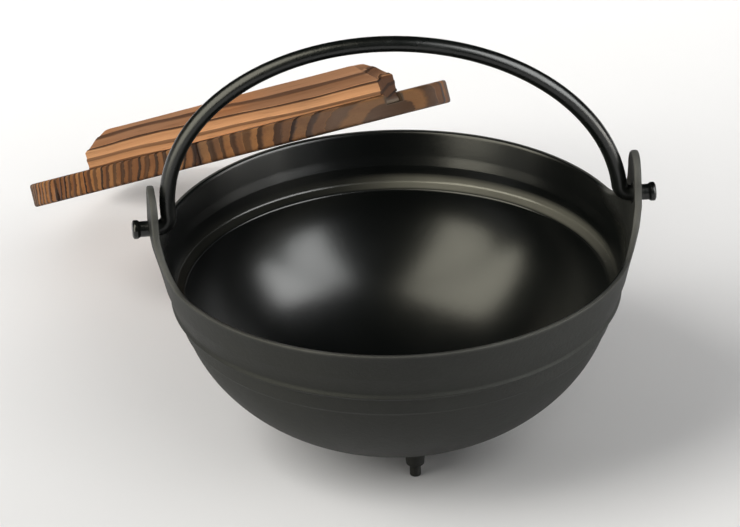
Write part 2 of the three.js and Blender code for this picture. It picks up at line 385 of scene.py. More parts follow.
potShape = {
    "rimHeight": 103.0,
    "rimRadius": 120.0,
    "bowlRadius": 110.0,
    "bowlCentreDepth": 20.0,
    "bowlDrop": 84.01,
    "bowlWall": 3.5,
    "baseRadius": 17.0,
    "baseRound": 1.5,
    "baseRings": (8.0, 2.0),
    "bowlSteps": (46, 44),  # rows of points inside and outside
    "pathGaps": (1.3, 1.4, 3.0),  # between rows on the seat, the neck and the base
    "wallFoot": 12.0,  # below this depth the wall is a plain turned shape
    "edgeDepth": 1.3,  # roundness of the rim's edge
    "edgeSquare": 0.62,
    "seatDepths": (29.8, 27.5),  # where the bowl ends and the lid's seat begins
    "seatRound": 1.2,
    "seatCorners": ((110.8, -25.4, 1.7), (112.4, -17.0, 2.0)),  # radius, height over the rim, rounding
    "neckCorners": ((116.2, -15.5, 3.0), (112.5, -25.6, 2.6), (113.4, -27.9, 1.0)),
    # depth, how far it stands out of the bowl, rounding
    "bandCorners": ((30.2, 0.6, 2.0), (38.9, 0.75, 0.8), (40.3, 0.0, 1.6), (43.5, 0.0, 0.0)),
    "earHalfWidth": 38.0,
    "earHeight": 40.0,
    "earTopRadius": 13.0,
    "earWaist": 18.0,
    "earSweep": 4.0,
    "earReach": 56.0,  # the ear's columns of points start here
    "earSteps": (20, 60, 30),  # points along the rim, up a flank and over half the top
    "earGap": 0.5,
    "earEasing": 60,  # rounds of easing where the flank leaves the rim
    "earEased": (4.0, 9.0),  # heights over which the easing fades
    "holeHeight": 17.5,
    "holeRadius": 4.5,
    # how far a hole opens beyond its radius, at what distance from the middle, rounding
    "holeCorners": ((1.9, 112.0, 0), (1.9, 118.6, 0), (0.0, 121.2, 0.9),
                    (0.0, 122.8, 0.9), (1.9, 125.4, 0), (1.9, 130.0, 0)),
    "holeSides": 48,
    "footCircle": 44.0,
    "footAngles": (-86.4, 33.6, 153.6),
    # radius, height over the rim, rounding
    "footCorners": ((0.6, -110.0, 0), (2.8, -110.0, 0.9), (2.8, -104.6, 0.8), (4.6, -103.0, 0.8),
                    (4.9, -99.0, 2.0), (6.9, -96.0, 0), (6.9, -94.4, 0), (0.6, -94.4, 0)),
    "footSides": 40,
    "footSlope": 0.33,  # of the bowl where a foot meets it
    "footBend": (-103.0, -97.0),  # heights over which a foot takes up that slope
    "columnGap": 1.15,
    "plainColumns": 104,  # between the ears, on each side
    "wallRows": 30,
    "edgeRows": 9,
    "sharpAngle": 38,
}
# Radius of the wall by height over the rim, on its inside and outside
wallInside = ((-17, 112.7), (-12, 114.0), (-6, 115.6), (0, 117.2), (8.75, 118.95),
              (17.5, 120.2), (42, 120.2))
wallOutside = ((-15.5, 116.2), (-12, 117.05), (-6, 118.5), (0, 120.1), (8.75, 122.55),
               (17.5, 123.8), (42, 123.8))


def softCurve(table):  # the table's steps, with their corners eased
    count = 600
    width = 25  # of the easing, in samples to each side
    heights = np.linspace(table[0][0], table[-1][0], count)
    radii = np.interp(heights, [row[0] for row in table], [row[1] for row in table])
    before = 2 * radii[0] - radii[width:0:-1]
    after = 2 * radii[-1] - radii[-2:-width - 2:-1]
    padded = np.concatenate([before, radii, after])
    kernel = np.hanning(2 * width + 1)
    return heights, np.convolve(padded, kernel / kernel.sum(), "valid")


insideCurve = softCurve(wallInside)
outsideCurve = softCurve(wallOutside)


def wallRadius(curve, height):
    return np.interp(height, curve[0], curve[1])


def wallMiddle(height):
    return 0.5 * (wallRadius(insideCurve, height) + wallRadius(outsideCurve, height))


def bowlRadiusAt(depth, inset):
    fall = (depth - potShape["bowlCentreDepth"]) / (potShape["bowlDrop"] - inset)
    return (potShape["bowlRadius"] - inset) * np.sqrt(np.maximum(0, 1 - fall * fall))


def bowlRows(depthFrom, depthTo, inset, count):
    drop = potShape["bowlDrop"] - inset
    middle = potShape["bowlCentreDepth"]
    first, last = (math.asin(min(1.0, (depth - middle) / drop)) for depth in (depthFrom, depthTo))
    depths = middle + drop * np.sin(np.linspace(first, last, count))
    return np.stack([bowlRadiusAt(depths, inset), -depths], 1)


def earOutline(shape):  # (sideways, height over the rim) along the rim, up a flank, over the top and down
    topRadius = shape["earTopRadius"]
    crown = shape["earHeight"] - topRadius
    rimSteps, flankSteps, topSteps = shape["earSteps"]
    rim = np.linspace(-shape["earReach"], -shape["earHalfWidth"], rimSteps, endpoint=False)
    side = [(x, 0.0) for x in rim]
    for part in np.linspace(0, 1, flankSteps, endpoint=False):
        x = curveAt(part, -shape["earHalfWidth"], -shape["earWaist"], -topRadius)
        side.append((x, curveAt(part, 0.0, shape["earSweep"], crown)))
    for angle in np.linspace(math.pi, math.pi / 2, topSteps, endpoint=False):
        side.append((topRadius * math.cos(angle), crown + topRadius * math.sin(angle)))
    mirrored = [(-x, h) for x, h in side[::-1]]
    path = spread(np.array(side + [(0.0, shape["earHeight"])] + mirrored), shape["earGap"])
    for repeat in range(shape["earEasing"]):
        eased = path.copy()
        eased[1:-1] = 0.25 * path[:-2] + 0.5 * path[1:-1] + 0.25 * path[2:]
        share = 1 - smoothStep(*shape["earEased"], path[:, 1])
        path = path + (eased - path) * share[:, None]
        path[0, 1] = 0.0
        path[-1, 1] = 0.0
    return path


def evenly(path, gap):  # points at even steps along a path, and how far along each one is
    steps = np.linalg.norm(np.diff(path, axis=0), axis=1)
    along = np.concatenate([[0], np.cumsum(steps)])
    count = int(round(along[-1] / gap))
    places = np.linspace(0, along[-1], count + 1)
    points = np.stack([np.interp(places, along, path[:, axis]) for axis in range(2)], 1)
    return points, places / along[-1]


# One entry per column: angle at the foot, angle and height at the top edge, and the edge's inward way
def potColumns(shape):
    outline, share = evenly(earOutline(shape), shape["columnGap"])
    topAngle = np.arcsin(outline[:, 0] / wallMiddle(outline[:, 1]))
    footAngle = topAngle[0] + (topAngle[-1] - topAngle[0]) * share
    flat = np.stack([topAngle * shape["rimRadius"], outline[:, 1]], 1)
    along = unit(np.gradient(flat, axis=0))
    ear = np.stack([footAngle, topAngle, outline[:, 1], along[:, 1], -along[:, 0]], 1)
    between = np.linspace(topAngle[-1], math.pi + topAngle[0], shape["plainColumns"] + 2)[1:-1]
    plain = np.zeros((len(between), 5))
    plain[:, :2] = between[:, None]
    plain[:, 4] = -1.0
    columns = np.concatenate([ear, plain])
    other = columns.copy()
    other[:, :2] += math.pi
    return np.concatenate([columns, other])


def wallRows(columns, curve, shape, parts):  # rows between the wall's foot and its top edge
    rows = []
    topHeight = columns[:, 2] + columns[:, 4] * shape["edgeDepth"]
    topAngle = columns[:, 1] + columns[:, 3] * shape["edgeDepth"] / shape["rimRadius"]
    for part in parts:
        height = -shape["wallFoot"] + (topHeight + shape["wallFoot"]) * part
        angle = columns[:, 0] + (topAngle - columns[:, 0]) * part
        rows.append(ringRow(wallRadius(curve, height), angle, height))
    return rows


def edgeRows(columns, shape, count):  # rows over the rounded top edge, from the inside to the outside
    rows = []
    for turn in np.linspace(0, math.pi, count + 2)[1:-1]:
        lift = abs(math.sin(turn)) ** shape["edgeSquare"]
        swing = math.copysign(abs(math.cos(turn)) ** shape["edgeSquare"], math.cos(turn))
        depth = shape["edgeDepth"] * (1 - lift)
        height = columns[:, 2] + columns[:, 4] * depth
        angle = columns[:, 1] + columns[:, 3] * depth / shape["rimRadius"]
        inner = wallRadius(insideCurve, height)
        outer = wallRadius(outsideCurve, height)
        radius = 0.5 * (inner + outer) - 0.5 * (outer - inner) * swing
        rows.append(ringRow(radius, angle, height))
    return rows


def insidePath(shape):  # from the bowl's middle out and up to the wall's foot, with the lid's seat
    wall = shape["bowlWall"]
    floorDepth = shape["bowlCentreDepth"] + shape["bowlDrop"] - wall
    bowlEnd, seatStart = shape["seatDepths"]
    bowl = bowlRows(floorDepth - 0.02, bowlEnd, wall, shape["bowlSteps"][0])  # starts just off the axis
    ledge = roundedPath([
        (bowlRadiusAt(bowlEnd, wall), -bowlEnd, 0),
        (bowlRadiusAt(seatStart, wall), -seatStart, shape["seatRound"]),
        *shape["seatCorners"],
        (wallRadius(insideCurve, -shape["wallFoot"]), -shape["wallFoot"], 0),
    ])
    return np.concatenate([bowl, spread(ledge, shape["pathGaps"][0])[1:]])


# From the wall's foot down over the neck, the raised line and the band to the flat base
def outsidePath(shape):
    bottom = -shape["rimHeight"]
    outerRing, innerRing = shape["baseRings"]
    neckGap, baseGap = shape["pathGaps"][1:]
    corners = roundedPath([
        (wallRadius(outsideCurve, -shape["wallFoot"]), -shape["wallFoot"], 0),
        *shape["neckCorners"],
        *((bowlRadiusAt(depth, 0) + out, -depth, corner) for depth, out, corner in shape["bandCorners"]),
    ])
    bowl = bowlRows(shape["bandCorners"][-1][0], shape["rimHeight"], 0, shape["bowlSteps"][1])
    base = roundedPath([tuple(bowl[-2]) + (0,), (shape["baseRadius"], bottom, shape["baseRound"]),
                        (outerRing, bottom, 0)])
    neck = spread(corners, neckGap)
    return np.concatenate([neck, bowl[1:-2], spread(base, baseGap), [(innerRing, bottom)]])


def footPlace(shape, angle):  # which way a foot stands from the middle, and where
    turn = math.radians(angle)
    way = np.array((math.cos(turn), math.sin(turn)))
    return way, way * shape["footCircle"]


def footMesh(shape, angle):
    points, faces = turnedMesh(roundedPath(shape["footCorners"]), shape["footSides"])
    way, place = footPlace(shape, angle)
    slope = shape["footSlope"] * (points[:, :2] @ way)
    points[:, 2] += slope * smoothStep(*shape["footBend"], points[:, 2])
    return points + (*place, shape["rimHeight"]), faces


def holeCutter(shape, side):  # a bore along X whose mouths open out a little
    corners = [(shape["holeRadius"] + wider, *rest) for wider, *rest in shape["holeCorners"]]
    points, faces = turnedMesh(roundedPath(corners), shape["holeSides"])
    height = shape["rimHeight"] + shape["holeHeight"]
    points = np.stack([side * points[:, 2], points[:, 1], points[:, 0] + height], 1)
    return points, faces


def makePot(shape, material):
    columns = potColumns(shape)
    steps = np.linspace(0, 1, shape["wallRows"])
    rows = turnedRows(insidePath(shape)[:-1], columns[:, 0])
    rows += wallRows(columns, insideCurve, shape, steps)
    rows += edgeRows(columns, shape, shape["edgeRows"])
    rows += wallRows(columns, outsideCurve, shape, steps[::-1])
    rows += turnedRows(outsidePath(shape)[1:], columns[:, 0])
    points = np.concatenate(rows)
    points[:, 2] += shape["rimHeight"]
    pot = newPiece("potBody", points, tubeFaces(len(rows), len(columns)), material)
    for side in (-1, 1):
        combine(pot, newPiece("holeCutter", *holeCutter(shape, side), material), "DIFFERENCE")
    for angle in shape["footAngles"]:
        combine(pot, newPiece("footTool", *footMesh(shape, angle), material), "UNION")
    smoothPiece(pot, shape["sharpAngle"])
    markPot(pot, shape, potMarks)
    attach(pot, "pot")
    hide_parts("pot_body")


# Where the coat changes and wears and where highlights and shade are painted, in millimetres; heights are
# over the rim
potMarks = {
    "midHeights": (-28.0, -25.6, -17.0, -15.0),
    "midRadii": (109.5, 111.4, 114.0, 114.8),  # between the seat and the neck, at those heights
    "insideMargin": 0.6,
    "earSpan": (30.0, 48.0),  # sideways, where the ears' own coat fades into the rim's
    "coatTop": -1.0,  # the bowl's coat ends here, and lower on the ears
    "coatDrop": 7.0,
    "coatFade": 8.0,
    # lighter edges: wear, and a painted highlight that is stronger on the ears
    "wornFrom": -4.0,
    "wornFade": (0.3, 2.2),  # away from the edge
    "wornRim": 0.6,  # wear and painted highlight of the rim against the ears'
    "wornSpan": 55.0,  # further sideways there is only the rim's edge
    # the seat band carries a painted highlight, lighter on the right and at the back
    "seatRadii": (106.4, 107.2),
    "seatHeights": (-28.4, -27.6, -24.0, -20.5),
    "seatBearings": (-5, 40, 66, 100),  # the painted highlight on the seat is strongest here, in degrees
    "seatLeast": 0.1,
    # the feet are painted darker: painted shade under the bowl
    "footRadii": (6.2, 7.4),
    "footHeights": (5.0, 8.0),  # over the flat base
}


def footShare(points, shape, marks):  # 1 on the feet, 0 on the bowl; the feet carry painted shade
    share = np.zeros(len(points))
    for angle in shape["footAngles"]:
        gap = np.linalg.norm(points[:, :2] - footPlace(shape, angle)[1], axis=1)
        share = np.maximum(share, 1 - smoothStep(*marks["footRadii"], gap))
    return share * (1 - smoothStep(*marks["footHeights"], points[:, 2]))


def markPot(pot, shape, marks):  # which points lie inside, on the seat, on a foot and on an edge; the seat carries a painted highlight, the feet painted shade, and the edges wear and a painted highlight
    points = pointsOf(pot)
    radius = np.hypot(points[:, 0], points[:, 1])
    height = points[:, 2] - shape["rimHeight"]
    neck = np.interp(height, marks["midHeights"], marks["midRadii"])
    middle = np.where(height > -shape["wallFoot"], wallMiddle(height), neck)
    half = shape["bowlWall"] / 2
    deep = (radius / (shape["bowlRadius"] - half)) ** 2 \
        + ((height + shape["bowlCentreDepth"]) / (shape["bowlDrop"] - half)) ** 2
    inside = np.where(height > marks["midHeights"][0], radius < middle - marks["insideMargin"], deep < 1)
    nearEar = (1 - smoothStep(*marks["earSpan"], np.abs(points[:, 1]))) * (height > -shape["wallFoot"])
    coatTop = marks["coatTop"] - marks["coatDrop"] * nearEar
    inside = inside * (1 - smoothStep(0.0, marks["coatFade"], height - coatTop))
    outline = earOutline(shape)
    tree = kdtree.KDTree(len(outline))
    for index, (sideways, up) in enumerate(outline):
        tree.insert((sideways, up, 0), index)
    tree.balance()
    # edge wear and painted highlight, stronger on the ears
    worn = np.zeros(len(points))
    for index in np.nonzero(height > marks["wornFrom"])[0]:
        sideways = points[index, 1]
        gap = abs(height[index])
        if abs(sideways) < marks["wornSpan"]:
            gap = tree.find((sideways, height[index], 0))[2]
        wear = marks["wornRim"] + (1 - marks["wornRim"]) * nearEar[index]
        worn[index] = (1 - smoothStep(*marks["wornFade"], gap)) * wear
    # painted highlight on the lid's seat, strongest over the bearings listed
    seat = smoothStep(*marks["seatRadii"], radius) * band(marks["seatHeights"], height)
    bearing = np.degrees(np.arctan2(points[:, 1], points[:, 0]))
    rubbed = marks["seatLeast"] + (1 - marks["seatLeast"]) * band(marks["seatBearings"], bearing)
    foot = footShare(points, shape, marks)
    paintPoints(pot, inside=inside, seat=seat * inside * rubbed, foot=foot, worn=worn)


potLook = {
    "outside": (0.0118, 0.0124, 0.0114, 1),
    "outsideDark": (0.0072, 0.0077, 0.0072, 1),
    "inside": (0.0016, 0.0022, 0.0021, 1),
    # lighter edges: wear and a painted highlight
    "edge": (0.108, 0.106, 0.096, 1),
    # painted shade on the feet, under the bowl
    "foot": (0.006, 0.006, 0.006, 1),
    "seat": (0.165, 0.158, 0.122, 1),  # painted highlight on the lid's seat
    "speckle": (0.034, 0.034, 0.031, 1),
    "speckleShare": 0.35,
    "outsideShine": (0.55, 0.56, 0.53, 1),
    "insideShine": (1, 1, 1, 1),
    "outsideRough": (0.57, 0.68),  # least and most
    "insideRough": (0.23, 0.27),
    "cloudScale": 22.0,
    "fineScale": 1500.0,
    "coarseScale": 420.0,
    "pitDepth": 0.00035,
    "pitStrength": 0.8,
    "pitInside": 0.12,  # share of the pits' depth that the inside keeps
}


def makePotCoat(look):
    material, tree, shader = newMaterial("blackCoat")
    place = ownPlace(tree)
    inside = painted(tree, "inside")
    cloudy = grains(tree, place, look["cloudScale"], 4.0, 0.6)
    fine = grains(tree, place, look["fineScale"], 2.0, 0.6)
    coarse = grains(tree, place, look["coarseScale"], 3.0, 0.6)
    outer = tint(tree, ease(tree, cloudy, 0.35, 0.68), look["outsideDark"], look["outside"])
    speckle = ease(tree, fine, 0.62, 0.75, 0.0, look["speckleShare"])
    outer = tint(tree, speckle, outer, look["speckle"])
    # edge wear and painted highlight
    wear = calc(tree, "MULTIPLY", painted(tree, "worn"), ease(tree, cloudy, 0.38, 0.62, 0.35, 0.6))
    outer = tint(tree, wear, outer, look["edge"])
    # painted shade on the feet
    outer = tint(tree, painted(tree, "foot"), outer, look["foot"])
    # painted highlight on the lid's seat
    rubbed = calc(tree, "MULTIPLY", painted(tree, "seat"), ease(tree, cloudy, 0.3, 0.7, 0.75, 1.0))
    inner = tint(tree, rubbed, look["inside"], look["seat"])
    outerRough = ease(tree, cloudy, 0.3, 0.7, *look["outsideRough"])
    innerRough = ease(tree, cloudy, 0.3, 0.7, *look["insideRough"])
    rough = addNode(tree, "Mix", {0: inside, 2: outerRough, 3: innerRough})
    put(tree, shader.inputs["Specular Tint"], tint(tree, inside, look["outsideShine"], look["insideShine"]))
    pitted = weigh(tree, (coarse, 0.7), (fine, 0.5))
    depth = calc(tree, "MULTIPLY", pitted, ease(tree, inside, 0.0, 1.0, 1.0, look["pitInside"]))
    normal = raised(tree, depth, look["pitDepth"], look["pitStrength"])
    dress(tree, shader, tint(tree, inside, outer, inner), rough, normal)
    return material


makePot(potShape, makePotCoat(potLook))
print("pot body ready")


# Bail: a bent bar that turns in the ears

bailShape = {
    "barRadius": 4.0,
    "legAt": 113.4,
    "pivotHeight": 120.5,
    "rise": 94.2,
    "lean": 10.0,
    "bendRadius": 6.0,
    "stubEnd": 131.8,
    "headRadius": 4.8,
    "headShoulder": (2.5, 3.8),  # from its end, where a head narrows to the bar
    "headRound": 0.9,
    "headDraw": 0.45,  # how far the head's end is drawn in
    "steps": (24, 14, 150),  # points along an end, a bend and the arch
    "sides": 32,
    "rubbed": (118.0, 121.0, 124.0, 126.0),  # from the middle, where the bar turns in the ears
    "sharpAngle": 50,
}


def bailLine(shape):  # centre line from the left end to the right end
    bend = shape["bendRadius"]
    pivot = shape["pivotHeight"]
    leg = shape["legAt"]
    endSteps, bendSteps, archSteps = shape["steps"]
    left = [(-x, 0.0, pivot) for x in np.linspace(shape["stubEnd"], leg + bend, endSteps)]
    for turn in np.linspace(0, math.pi / 2, bendSteps)[1:]:
        left.append((-(leg + bend * (1 - math.sin(turn))), 0.0, pivot + bend * (1 - math.cos(turn))))
    right = [(-x, y, z) for x, y, z in left[::-1]]
    arch = []
    for turn in np.linspace(math.pi, 0, archSteps)[1:-1]:
        x = leg * math.cos(turn) - shape["lean"] * math.sin(turn)
        arch.append((x, 0.0, pivot + bend + (shape["rise"] - bend) * math.sin(turn)))
    return np.array(left + arch + right)


def barRadiusAt(x, shape):  # the bar's ends are upset into heads
    fromEnd = shape["stubEnd"] - abs(x)
    head = 1 - smoothStep(*shape["headShoulder"], fromEnd)
    radius = shape["barRadius"] + (shape["headRadius"] - shape["barRadius"]) * head
    if fromEnd < shape["headRound"]:
        radius *= math.sqrt(max(0.0, 1 - (1 - fromEnd / shape["headRound"]) ** 2 * shape["headDraw"]))
    return radius


def makeBail(shape, material):
    line = bailLine(shape)
    sides = shape["sides"]
    across = np.array((0.0, 1.0, 0.0))
    points = []
    for place, way in zip(line, unit(np.gradient(line, axis=0))):
        outward = np.cross(way, across)
        radius = shape["barRadius"]
        if abs(place[2] - shape["pivotHeight"]) < 0.01:  # only on the straight ends
            radius = barRadiusAt(place[0], shape)
        for side in range(sides):
            turn = 2 * math.pi * side / sides
            points.append(place + radius * (math.cos(turn) * across + math.sin(turn) * outward))
    bail = newPiece("bailHandle", points, tubeFaces(len(line), sides), material)
    smoothPiece(bail, shape["sharpAngle"])
    paintPoints(bail, rubbed=band(shape["rubbed"], np.abs(pointsOf(bail)[:, 0])))
    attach(bail, "bail")
    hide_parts("bail_handle")


bailLook = {
    "colour": (0.0035, 0.0046, 0.0040, 1),
    "deep": 0.7,  # of the colour, in the darker clouds
    "bare": (0.03, 0.03, 0.028, 1),
    "rough": (0.23, 0.32),  # least and most
    "cloudScale": 60.0,
    "fineScale": 1100.0,
    "fineDepth": 0.00012,
    "fineStrength": 0.5,
}


def makeBailPaint(look):
    material, tree, shader = newMaterial("satinBlackPaint")
    place = ownPlace(tree)
    cloudy = grains(tree, place, look["cloudScale"], 3.0)
    fine = grains(tree, place, look["fineScale"])
    wear = calc(tree, "MULTIPLY", painted(tree, "rubbed"), ease(tree, cloudy, 0.4, 0.6, 0.2, 0.8))
    colour = tint(tree, cloudy, look["colour"], scaled(look["colour"], look["deep"]))
    rough = ease(tree, cloudy, 0.3, 0.7, *look["rough"])
    normal = raised(tree, fine, look["fineDepth"], look["fineStrength"])
    dress(tree, shader, tint(tree, wear, colour, look["bare"]), rough, normal)
    return material


makeBail(bailShape, makeBailPaint(bailLook))
print("bail ready")


# Lid: three boards and a batten dovetailed into them, in the lid's own frame, with its underside at 0

lidShape = {
    "radius": 111.0,
    "thickness": 12.0,
    "edge": 1.2,
    "joints": (-36.0, 56.6),
    "jointBevel": 0.9,
    "jointFade": 1.1,  # width of that bevel
    "scorchFade": (0.4, 2.2),  # away from a joint
    "fitGap": 0.3,
    "rimRound": 0.8,
    "facing": 110.0,
    "spin": -64.6,
    "offset": 17.5,
    "rimBite": 1.0,
    "columnGap": 0.6,
    "endShare": 0.97,  # of the radius; beyond it the columns close up
    "endColumns": 24,
    "endAngle": 0.012,
    "faceSteps": 46,
    "edgeSteps": 9,
    "grooveHalf": 7.0,  # the groove's cut faces lie within this and between these heights
    "grooveHeights": (6.5, 11.9),
    "sharpAngle": 50,
}
battenShape = {
    "from": -103.0,
    "to": 109.0,
    "width": 13.0,
    "height": 18.7,
    "side": 12.5,
    "slopeLeast": 1.4,  # height of the sloping flanks at the ends
    "topWidth": 8.8,
    "endHeight": 8.8,
    "endRun": 16.0,
    "endSpare": 2.0,  # the columns stay close this far past the ramp
    "dovetailDepth": 5.0,
    "dovetailNeck": 10.0,
    "dovetailSpread": 1.2,
    "edge": 0.9,
    "endEdge": 0.6,  # length over which the ends are rounded
    "endRings": (0.85, 0.68, 0.5, 0.32, 0.14),  # loops on an end, as shares of its outline
    "rampEase": (0.3, 3.0),  # depth and length of the easing where the ramp meets the top
    "fill": (2, 3, 1, 26, 12, 5),  # points added on each straight run of the section
    "plainBelow": 0.5,  # over the boards; lower down the wood isn't brushed
    "endColumns": 24,
    "midColumns": 108,
    "endHighlightFrom": (107.5, 108.5),  # painted highlight at the near end's lower edge
    "endHighlightBelow": (8.2, 9.4),
    "sharpAngle": 40,
}
# heart is the middle of the tree, across and above the board; proud is how far late wood stands out;
# grey is the share of weathered wood
boardWoods = {
    "boardLeft": {"grain": "y", "heart": (-300, 80), "ringGap": 5.0, "warp": 7.0, "shift": (4.1, 0.3, 2.2),
                  "proud": 0.45, "grey": 0.95, "node": "lid_plank_left", "castsShadow": False},
    "boardMiddle": {"grain": "y", "heart": (-270, 72), "ringGap": 4.3, "warp": 6.0,
                    "shift": (9.4, 5.1, 1.7), "proud": 0.5, "grey": 0.35, "node": "lid_plank_middle"},
    "boardRight": {"grain": "y", "heart": (330, -60), "ringGap": 5.6, "warp": 7.0, "shift": (2.9, 8.8, 6.3),
                   "proud": 0.5, "grey": 0.6, "node": "lid_plank_right"},
}
battenWood = {"grain": "x", "heart": (10, -48), "ringGap": 5.2, "warp": 4.0, "shift": (7.7, 1.9, 3.8),
              "proud": 0.5, "grey": 0.6}
# how quickly the rings' warp changes across, up and along a board, and how far it goes
ringWarp = {
    "swell": (0.018, 0.03, 0.006),
    "ripple": (0.07, 0.07, 0.022),
    "rippleShare": 0.25,
    "spacing": 0.045,
    "spacingShare": 0.5,
    "lateWood": (0.3, 0.8, 0.92, 1.0),  # of a ring, where it stands proud
}


def lidPlace(shape, pot, table):  # the lid stands on its lower edge and leans on the rim
    under = shape["radius"] - shape["edge"]
    along = math.sqrt((under - shape["rimBite"]) ** 2 - shape["offset"] ** 2)
    tilt = math.asin((pot["rimHeight"] - table) / (under + along))
    centre = table + shape["fitGap"] + under * math.sin(tilt)
    rimTop = pot["rimHeight"] + shape["fitGap"] / math.cos(tilt)
    reach = pot["rimRadius"] - shape["rimRound"] + (rimTop - centre) / math.tan(tilt)
    facing = Matrix.Rotation(math.radians(shape["facing"] - 90), 4, "Z")
    leaning = Matrix.Translation(Vector((shape["offset"], reach, centre)) * mm)
    tilted = Matrix.Rotation(-tilt, 4, "X")
    return facing @ leaning @ tilted @ Matrix.Rotation(math.radians(shape["spin"]), 4, "Z")


lidMatrix = lidPlace(lidShape, potShape, stageLook["floorLevel"])


def growthRings(points, wood):  # ring count at each point: distance from the tree's heart, gently warped
    counts = np.zeros(len(points))
    heart = wood["heart"]
    shift = Vector(wood["shift"])
    swellScale = Vector(ringWarp["swell"])
    rippleScale = Vector(ringWarp["ripple"])
    for index, (x, y, z) in enumerate(points):
        along, across = (y, x) if wood["grain"] == "y" else (x, y)
        sideways = across - heart[0]
        up = z - heart[1]
        place = Vector((sideways, up, along))
        swell = noise.noise(place * swellScale + shift) * wood["warp"]
        ripple = noise.noise(place * rippleScale + shift) * wood["warp"] * ringWarp["rippleShare"]
        distance = math.hypot(sideways, up) + swell + ripple
        uneven = noise.noise(Vector((distance * ringWarp["spacing"], 3.1, 7.7)) + shift)
        counts[index] = distance / wood["ringGap"] + ringWarp["spacingShare"] * uneven
    return counts


def brushed(points, outward, rings, wood):  # early wood is brushed away, so late wood stands proud
    proud = band(ringWarp["lateWood"], rings - np.floor(rings))
    return points - outward * ((1 - proud) * wood["proud"])[:, None]


def boardColumns(fromX, toX, shape):  # places across the board, closer where the round edge turns away
    radius = shape["radius"]
    inner = shape["endShare"] * radius
    gap = shape["columnGap"]
    places = list(np.arange(max(fromX, -inner), min(toX, inner) - gap / 2, gap))
    places.append(min(toX, inner))
    turns = np.linspace(shape["endAngle"], math.acos(shape["endShare"]), shape["endColumns"])[:-1]
    ends = [radius * math.cos(turn) for turn in turns]
    if fromX <= -radius:
        places = [-place for place in ends] + places
    if toX >= radius:
        places = places + ends[::-1]
    return np.array(places)


# One loop round the board at a place across it, and the way out at each point
def boardLoop(x, shape, ends):
    edge = shape["edge"]
    high = shape["thickness"]
    nearest = min(abs(x - end) for end in ends)
    inset = shape["jointBevel"] * (1 - smoothStep(0.0, shape["jointFade"], nearest))
    # how far the edge draws back, its height, and how far it leans up, in radians
    levels = [(edge, 0.0, -1.1), (edge * 0.3, edge * 0.3, -0.8), (0.0, edge, -0.3)]
    levels += [(0.0, z, 0.0) for z in np.linspace(edge, high - edge, shape["edgeSteps"])[1:-1]]
    levels += [(0.0, high - edge, 0.3), (edge * 0.3, high - edge * 0.3, 0.8), (edge, high, 1.1)]
    loop = []
    outward = []
    for side in (1, -1):
        for draw, z, lean in levels if side == 1 else levels[::-1]:
            reach = math.sqrt(max(0.02, (shape["radius"] - draw) ** 2 - x * x))
            loop.append((x, side * max(0.1, reach - inset), min(max(z, inset), high - inset)))
            outward.append((0.0, side * reach / shape["radius"] * math.cos(lean), math.sin(lean)))
        far = math.sqrt(max(0.02, (shape["radius"] - edge) ** 2 - x * x))
        for part in np.linspace(1, -1, shape["faceSteps"])[1:-1]:
            loop.append((x, side * part * far, high - inset if side == 1 else inset))
            outward.append((0.0, 0.0, side))
    return loop, outward


def settle(piece):  # moves the mesh to its place and keeps its own coordinates for the grain
    own = np.asarray(pointsOf(piece).ravel() * mm, np.float32)
    piece.data.attributes.new("own", "FLOAT_VECTOR", "POINT").data.foreach_set("vector", own)
    piece.data.transform(lidMatrix)


def grooveTool(shape, batten):  # the dovetailed groove that runs across all the boards
    spare = 3.0  # the tool reaches this far past the boards
    neck = batten["dovetailNeck"] / 2 + shape["fitGap"]
    foot = neck + batten["dovetailSpread"]
    top = shape["thickness"]
    over = top + spare
    floor = top - batten["dovetailDepth"] - shape["fitGap"]
    outline = [(-foot, floor), (foot, floor), (neck, top), (neck, over), (-neck, over), (-neck, top)]
    far = shape["radius"] + spare
    points = [(x, y, z) for x in (-far, far) for y, z in outline]
    return points, tubeFaces(2, len(outline))


def makeBoard(name, fromX, toX, wood, material, shape):
    ends = [x for x in (fromX, toX) if abs(x) < shape["radius"]]
    loops = np.array([boardLoop(x, shape, ends) for x in boardColumns(fromX, toX, shape)])
    points, outward = (loops[:, kind].reshape(-1, 3) for kind in (0, 1))
    points = brushed(points, outward, growthRings(points, wood), wood)
    board = newPiece(name, points, tubeFaces(len(loops), loops.shape[2]), material)
    combine(board, newPiece("grooveTool", *grooveTool(shape, battenShape), material), "DIFFERENCE")
    dropSlivers(board)
    smoothPiece(board, shape["sharpAngle"])
    own = pointsOf(board)
    gap = np.min([np.abs(own[:, 0] - end) for end in ends], axis=0)
    scorched = 1 - smoothStep(*shape["scorchFade"], gap)
    low, high = shape["grooveHeights"]
    groove = (np.abs(own[:, 1]) < shape["grooveHalf"]) & (own[:, 2] > low) & (own[:, 2] < high)
    paintPoints(board, rings=growthRings(own, wood), scorched=scorched, bare=groove)
    settle(board)
    board.visible_shadow = wood.get("castsShadow", True)
    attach(board, "lid")
    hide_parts(wood["node"])


